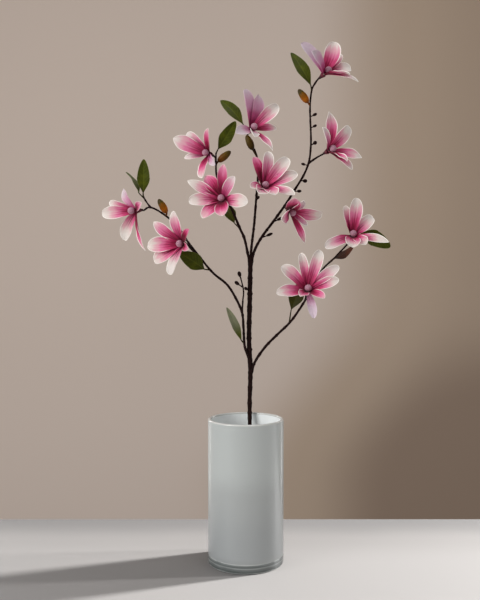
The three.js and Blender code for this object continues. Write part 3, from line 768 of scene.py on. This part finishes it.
def make_petal(number, index, place, petal, material):
    centre, axis, up, right = place
    clock, opening, length, width, lay, point, pallor, blush = petal
    rng = np.random.default_rng(number * 100 + index)
    turn = math.radians(clock)
    out = right * math.cos(turn) + up * math.sin(turn)
    side = np.cross(axis, out)
    along = 1 - (1 - np.linspace(0, 1, PETAL_ROWS)) ** 1.6
    bend = np.radians(opening + PETAL_CURL * (along - 0.5) + 10 * smooth(0.8, 1, along))
    step = np.diff(along, prepend=0) * length
    reach_out = PETAL_START + np.cumsum(np.sin(bend) * step)
    reach_up = -SEAT_DEPTH + 0.5 * (index % 2) + np.cumsum(np.cos(bend) * step)
    middle = centre + out * reach_out[:, None] + axis * reach_up[:, None]
    over = axis * np.sin(bend)[:, None] - out * np.cos(bend)[:, None]
    roll = math.radians(lay) + math.radians(rng.uniform(3, 9)) * smooth(0.1, 0.5, along)
    sideways = side * np.cos(roll)[:, None] + over * np.sin(roll)[:, None]
    over = over * np.cos(roll)[:, None] - side * np.sin(roll)[:, None]
    half = width / 2 * petal_outline(along, point) * (
        1 + 0.03 * np.sin(along * 9 + rng.uniform(0, 6)))

    across = np.sin(np.linspace(-1, 1, PETAL_COLUMNS) * math.pi / 2)
    s, t, w = across[None, :], along[:, None], half[:, None]
    edge = np.minimum((1 - np.abs(s)) * w, (1 - t) * length + 0 * s)
    crease = np.zeros_like(s * t)
    dip = np.zeros_like(s * t)
    for middle_line, depth in ((0.0, 1.0), (-0.45, 0.65), (0.45, 0.65)):
        drift = middle_line * (0.55 + 0.45 * t) + 0.04 * np.sin(t * 7 + rng.uniform(0, 6))
        line = np.exp(-((s - drift) * w / 0.62) ** 2)
        fade = depth * (1 - smooth(0.3, 0.72 + rng.uniform(-0.1, 0.1), t))
        crease = np.maximum(crease, line * fade)
        dip = np.maximum(dip, np.exp(-((s - drift) * w / 0.9) ** 2) * depth
                         * (1 - smooth(0.5, 0.95, t)))
    ripple_phase = rng.uniform(0, 6, 3)
    ripple = (0.55 * np.sin(t * 8.5 + ripple_phase[0]) * s
              + 0.4 * np.sin(t * 13 + ripple_phase[1]) * np.sign(s)) * s ** 2
    lift = (PETAL_CUP * w * np.abs(s) ** 1.8 + ripple * smooth(0.25, 0.7, t)
            - 0.55 * dip * smooth(0.02, 0.12, t)
            + 0.18 * np.sin(s * w * 1.9 + ripple_phase[2]) * (1 - s ** 2))
    thick = 0.3 + 0.5 * np.exp(-(edge / 0.5) ** 2) + 0.35 * (1 - smooth(0, 0.2, t))
    surface = middle[:, None] + sideways[:, None] * (s * w)[..., None]
    top = surface + over[:, None] * (lift + thick / 2)[..., None]
    under = surface + over[:, None] * (lift - thick / 2)[..., None]
    rings = np.concatenate([under, top[:, ::-1]], axis=1)
    both = lambda field: np.concatenate([field, field[:, ::-1]], axis=1).ravel()
    ones = np.ones_like(s * t)
    attributes = {
        "along": both(t * ones), "across": both(s * ones), "edge": both(edge * ones),
        "crease": both(crease), "pallor": both(pallor * ones), "blush": both(blush * ones),
        "seed": both(ones * (number * 7.3 + index * 2.1)),
    }
    rows, sides = rings.shape[:2]
    obj = mesh_object(f"flower_{number}_petal_{index + 1}", rings.reshape(-1, 3),
                      ring_faces(rows, sides), attributes)
    obj.data.materials.append(material)
    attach(obj, "root")
    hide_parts(f"flower_{number}_petals")


def make_centre(number, place, material):
    """The bead: a ball set with small round grains in a spiral."""
    centre, axis, up, right = place
    rows, sides = 44, 72
    polar = np.linspace(0.02, math.pi - 0.02, rows)[:, None]
    turn = (np.arange(sides) / sides * 2 * math.pi)[None, :]
    direction = np.stack([np.sin(polar) * np.cos(turn), np.sin(polar) * np.sin(turn),
                          np.cos(polar) * np.ones_like(turn)], axis=-1)
    grains = 110
    k = np.arange(grains) + 0.5
    tilt = np.arccos(1 - 2 * k / grains)
    spin = math.pi * (1 + 5 ** 0.5) * k
    seeds = np.stack([np.sin(tilt) * np.cos(spin), np.sin(tilt) * np.sin(spin),
                      np.cos(tilt)], axis=-1)
    nearest = np.arccos(np.clip(direction.reshape(-1, 3) @ seeds.T, -1, 1)).min(axis=1)
    height = np.sqrt(np.clip(1 - (nearest / 0.19) ** 2, 0, 1)).reshape(rows, sides)
    radius = CENTRE_RADIUS - 0.42 + 0.6 * height
    local = direction * radius[..., None]
    points = (centre + right * local[..., :1] + up * local[..., 1:2] + axis * local[..., 2:])
    obj = mesh_object(f"flower_{number}_bead", points[::-1].reshape(-1, 3),
                      ring_faces(rows, sides), {"height": height[::-1].ravel()})
    obj.data.materials.append(material)
    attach(obj, "root")
    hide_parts(f"flower_{number}_centre")


def make_calyx(number, place, material):
    """The cup under the petals: it flares from the stalk into five blunt sepals."""
    centre, axis, up, right = place
    sides = 60
    turn = np.arange(sides) / sides * 2 * math.pi
    lobe = 0.5 + 0.5 * np.cos(5 * turn + number)
    outer = [(0.0, STALK_RADIUS), (0.08, 1.75), (0.2, 1.8), (0.4, 2.3), (0.6, 2.9),
             (0.8, 3.35), (1.0, CALYX_RADIUS)]
    span = CALYX_BASE - CALYX_LIP
    rings, share = [], []
    for wall in (0.0, -0.55):
        for height, radius in (outer if wall == 0 else outer[:2:-1]):
            top = smooth(0.55, 1, height)
            tall = height * span + 2.2 * lobe * top - 1.1 * top
            flare = radius + wall + 0.7 * lobe * top - 0.2 * (1 - lobe) * (1 - top)
            flare = np.maximum(flare, 0.6) * np.ones(sides)
            depth = -CALYX_BASE + tall
            rings.append(centre + axis * depth[:, None]
                         + right * (np.cos(turn) * flare)[:, None]
                         + up * (np.sin(turn) * flare)[:, None])
            share.append(np.full(sides, height))
    rings = np.array(rings)
    obj = mesh_object(f"flower_{number}_cup", rings.reshape(-1, 3),
                      ring_faces(len(rings), sides), {"along": np.concatenate(share)})
    obj.data.materials.append(material)
    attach(obj, "root")
    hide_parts(f"flower_{number}_calyx")


# ---------------------------------------------------------------- leaves and buds


def leaf_outline(along):
    rise = 0.06 + 0.94 * np.sin(np.clip(along / LEAF_WIDEST, 0, 1) * math.pi / 2) ** 1.2
    fall = np.sqrt(np.clip(1 - ((along - LEAF_WIDEST) / (1 - LEAF_WIDEST)) ** 2, 0.0003, 1))
    return np.where(along < LEAF_WIDEST, rise, fall * (1 - 0.35 * along ** 3))


def make_leaf(index, spec, material):
    name, start, base, tip, faces, width, arch = spec
    rng = np.random.default_rng(900 + index)
    base, tip = np.array(base, float), np.array(tip, float)
    length = np.linalg.norm(tip - base)
    ahead = unit(tip - base)
    side = unit(np.cross(faces, ahead))
    up = np.cross(ahead, side)
    along = 1 - (1 - np.linspace(0, 1, 56)) ** 1.4
    across = np.sin(np.linspace(-1, 1, 27) * math.pi / 2)
    half = width / 2 * leaf_outline(along)
    s, t, w = across[None, :], along[:, None], half[:, None]
    edge = np.minimum((1 - np.abs(s)) * w, (1 - t) * length + 0 * s)
    slant = t * length - np.abs(s) * w * 0.95
    side_vein = np.exp(-(((slant / 5.2 + 0.25 * np.sign(s)) % 1 - 0.5) * 5.2 / 0.45) ** 2)
    side_vein = side_vein * smooth(0.02, 0.12, np.abs(s)) * (1 - smooth(0.75, 1, np.abs(s)))
    midrib = np.exp(-(s * w / (0.55 * (1 - 0.6 * t))) ** 2) * (1 - smooth(0.9, 1, t))
    vein = np.maximum(midrib, 0.6 * side_vein * smooth(0.02, 0.1, t) * (1 - smooth(0.85, 1, t)))
    wave = 0.5 * np.sin(t * 9 + rng.uniform(0, 6)) * s * np.abs(s)
    lift = (LEAF_FOLD * w * (np.sqrt(s ** 2 + 0.01) - 0.1) + wave - 0.28 * vein)
    middle = base + np.outer(along * length, ahead) + np.outer(
        arch * np.sin(along * math.pi), up)
    thick = 0.34 + 0.5 * midrib
    surface = middle[:, None] + side * (s * w)[..., None]
    top = surface + up * (lift + 0.17)[..., None]
    under = surface + up * (lift + 0.17 - thick)[..., None]
    rings = np.concatenate([under, top[:, ::-1]], axis=1)
    both = lambda field: np.concatenate([field, field[:, ::-1]], axis=1).ravel()
    ones = np.ones_like(s * t)
    stalk_line, stalk_run = smooth_path([start, base, base + ahead * length * 0.08], 0.8)
    stalk = sweep(stalk_line, np.interp(stalk_run, [0, stalk_run[-1]], [1.15, 0.7]), 12)
    rows, sides = rings.shape[:2]
    points = np.vstack([rings.reshape(-1, 3), stalk.reshape(-1, 3)])
    faces_all = ring_faces(rows, sides) + ring_faces(*stalk.shape[:2], offset=rows * sides)
    extra = len(stalk.reshape(-1, 3))
    back = np.concatenate([ones, 0 * ones], axis=1).ravel()
    pad = lambda field, value: np.concatenate([field, np.full(extra, value)])
    attributes = {
        "along": pad(both(t * ones), 0.0), "edge": pad(both(edge * ones), 5.0),
        "vein": pad(both(vein), 0.3), "back": pad(back, 0.0),
        "grey": pad(both(GREYED.get(name, 0.0) * smooth(0.1, 0.6, t) * ones), 0.0),
        "dark": pad(both(DARKENED.get(name, 0.0) * ones), 0.8),
    }
    obj = mesh_object("blade_" + name, points, faces_all, attributes)
    obj.data.materials.append(material)
    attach(obj, "root")
    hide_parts(name)


def make_bud(index, spec, material):
    """A pointed bud: two whorls of three scales, each with a raised edge, on a short stalk."""
    name, start, base, tip = spec
    base, tip = np.array(base, float), np.array(tip, float)
    length = np.linalg.norm(tip - base)
    rows, sides = 70, 72
    along = 1 - (1 - np.linspace(0, 1, rows)) ** 1.5
    body = np.interp(along, [0, 0.08, 0.22, 0.42, 0.62, 0.8, 0.92, 0.98, 1],
                     [0.36, 0.62, 0.88, 1.0, 0.95, 0.78, 0.52, 0.26, 0.03])
    turn = np.arange(sides) / sides * 2 * math.pi
    t, a = along[:, None], turn[None, :]
    raised = np.zeros((rows, sides))
    step_out = np.zeros((rows, sides))
    for whorl, (reach, spin) in enumerate(((1.0, 0.5), (0.62, 1.55))):
        for scale in range(3):
            away = (a - spin - scale * 2 * math.pi / 3 + math.pi) % (2 * math.pi) - math.pi
            wide = 1.25 * np.sqrt(np.clip(1 - (t / reach) ** 2, 0, 1)) + 0.001
            inside = smooth(1.04, 0.94, np.abs(away) / wide) * (t < reach)
            rim = np.exp(-((np.abs(away) / wide - 0.96) / 0.07) ** 2) * (t < reach)
            step_out = np.maximum(step_out, (0.22 + 0.3 * whorl) * inside)
            raised = np.maximum(raised, inside * (1 - 0.7 * rim))
    line = base + np.outer(along * length, unit(tip - base))
    across, over = carried_frames(line)
    radius = body[:, None] * (BUD_RADIUS - 0.5) + step_out * smooth(0, 0.1, t) * (
        1 - smooth(0.93, 1, t))
    rings = (line[:, None] + across[:, None] * (np.cos(a) * radius)[..., None]
             + over[:, None] * (np.sin(a) * radius)[..., None])
    stalk_line, _ = smooth_path([start, base, base + (tip - base) * 0.1], 0.8)
    stalk = sweep(stalk_line, np.full(len(stalk_line), 1.25), 12)
    extra = stalk.shape[0] * stalk.shape[1]
    points = np.vstack([rings.reshape(-1, 3), stalk.reshape(-1, 3)])
    faces = ring_faces(rows, sides) + ring_faces(*stalk.shape[:2], offset=rows * sides)
    pad = lambda field, value: np.concatenate([(field + 0 * t * a).ravel(),
                                               np.full(extra, value)])
    olive = OLIVE.get(name, 0.0)
    obj = mesh_object("scales_" + name, points, faces, {
        "along": pad(t, 0.0), "turn": pad(a / (2 * math.pi), 0.0),
        "raised": pad(raised, 0.2), "olive": pad(np.full_like(t, olive), olive)})
    obj.data.materials.append(material)
    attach(obj, "root")
    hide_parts(name)


# ---------------------------------------------------------------- camera, light and table


def make_camera():
    data = bpy.data.cameras.new("camera")
    data.lens = CAMERA_LENS
    data.clip_start = 0.01
    camera = bpy.data.objects.new("camera", data)
    camera.location = CAMERA_PLACE
    camera.rotation_euler = (math.radians(90 - CAMERA_TILT_DOWN), 0, 0)
    bpy.context.collection.objects.link(camera)
    bpy.context.scene.camera = camera


def make_lamp(name, place, target, size, power, colour, only=None):
    """A soft box light. It lights everything, or only the objects in the collection given."""
    data = bpy.data.lights.new(name, "AREA")
    data.shape = "RECTANGLE"
    data.size, data.size_y = size
    data.energy = power
    data.color = colour
    lamp = bpy.data.objects.new(name, data)
    lamp.location = place
    lamp.rotation_euler = (Vector(target) - Vector(place)).to_track_quat("-Z", "Y").to_euler()
    lamp.visible_camera = False
    bpy.context.collection.objects.link(lamp)
    if only:
        lamp.light_linking.receiver_collection = only


def make_table():
    """A pale table top with a rounded back edge, 195 mm behind the vase, with painted shade that
    darkens it towards the back edge.
    """
    front, back, wide, thick, edge = 2400.0, 195.0, 1900.0, 30.0, 6.0
    profile = [(-front, -thick), (-front, 0)]
    profile += [(back - edge + edge * math.sin(a), -edge + edge * math.cos(a))
                for a in np.linspace(0, math.pi / 2, 8)]
    profile += [(back, -thick)]
    rings = np.array([[(x, y, z) for y, z in profile] for x in (-wide, wide)])
    rows, sides = rings.shape[:2]
    table = mesh_object("table", rings.reshape(-1, 3), ring_faces(rows, sides))
    table.data.shade_flat()
    paint = Paint("table_top", 0.6, Specular_IOR_Level=0.25)
    # Painted shade: the top's colour darkens towards its back edge.
    depth = paint.math("ADD", paint.axes(paint.position())[1],
                       paint.math("MULTIPLY", paint.noise(6.0, 3.0), 0.02))
    paint.colour(paint.ramp(paint.spread(depth, 0.22, -0.02), [
        (0.0, linear(92, 90, 89)), (0.5, linear(112, 109, 107)), (1.0, linear(119, 116, 114))]))
    table.data.materials.append(paint.material)
    return table


def make_wall():
    """A beige wall well behind the table, with painted shade: a little darker to the right and low
    down.
    """
    wide, behind, low, high = 4000, 1900, -1500, 3500
    points = [(-wide, behind, low), (wide, behind, low), (wide, behind, high),
              (-wide, behind, high)]
    wall = mesh_object("wall", points, [(0, 1, 2, 3)])
    paint = Paint("wall_paint", 0.9, Specular_IOR_Level=0.1)
    # Painted shade: the colour darkens to the right and low down, where less light falls on the
    # wall.
    x, _, z = paint.axes(paint.position())
    sideways = paint.spread(x, -0.4, 0.95)
    upward = paint.spread(z, 0.35, -0.4)
    shade = paint.math("ADD", paint.math("MULTIPLY", sideways, 0.8),
                       paint.math("MULTIPLY", upward, 0.35), clamp=True)
    paint.colour(paint.ramp(shade, [
        (0.0, linear(222, 203, 188)), (0.35, linear(224, 205, 190)), (0.7, linear(194, 171, 149)),
        (1.0, linear(156, 134, 116))]))
    wall.data.materials.append(paint.material)


def make_world():
    world = bpy.data.worlds.new("studio")
    world.use_nodes = True
    bpy.context.scene.world = world
    background = world.node_tree.nodes["Background"]
    background.inputs["Strength"].default_value = 0.42
    background.inputs["Color"].default_value = linear(236, 238, 242)


# ---------------------------------------------------------------- everything in its place

make_camera()
make_world()
make_wall()
table_only = bpy.data.collections.new("table_only")
table_only.objects.link(make_table())
make_lamp("sun_side", (3.34, 1.15, 1.88), (0, 0, 0.1), (0.3, 0.3), 720, (0.99, 1.0, 1.0),
          only=table_only)
make_lamp("sun_side_faint", (3.5, 0.3, 1.7), (0, 0, 0.1), (0.2, 0.2), 150, (0.99, 1.0, 1.0),
          only=table_only)
make_lamp("front_left", (-1.6, -1.1, 1.0), (0, 0, 0.4), (0.9, 1.2), 27, (0.99, 0.995, 1.0))
make_lamp("above", (0.2, -0.3, 1.8), (0, 0, 0.3), (0.9, 0.9), 6, (0.98, 0.99, 1.0))
for side in (-1, 1):
    make_lamp(f"edge_{side + 1}", (0.8 * side, 0.85, 0.35), (0, 0, 0.35), (0.07, 1.2), 1.6,
              (1.0, 1.0, 1.0))

make_vase(*glass_paints())
bark = bark_paint()
make_wood("main_stem", MAIN_STEM, bark, 1)
for seed, (name, spec) in enumerate(SHOOTS.items(), start=2):
    make_wood(name, spec, bark, seed)

petal_material = petal_paint()
bead_material = bead_paint()
calyx_material = calyx_paint()
for number, (faces, petals) in enumerate(FLOWERS, start=1):
    place = flower_frame(number, faces)
    for index, petal in enumerate(petals):
        make_petal(number, index, place, petal, petal_material)
    make_centre(number, place, bead_material)
    make_calyx(number, place, calyx_material)

leaf_material, bract_material = leaf_paint(), bract_paint()
for index, spec in enumerate(LEAVES):
    make_leaf(index, spec, bract_material if spec[0].startswith("bract") else leaf_material)
bud_material = bud_paint()
for index, spec in enumerate(BUDS):
    make_bud(index, spec, bud_material)

bpy.context.scene.view_settings.view_transform = "Standard"
bpy.context.scene.cycles.use_denoising = True
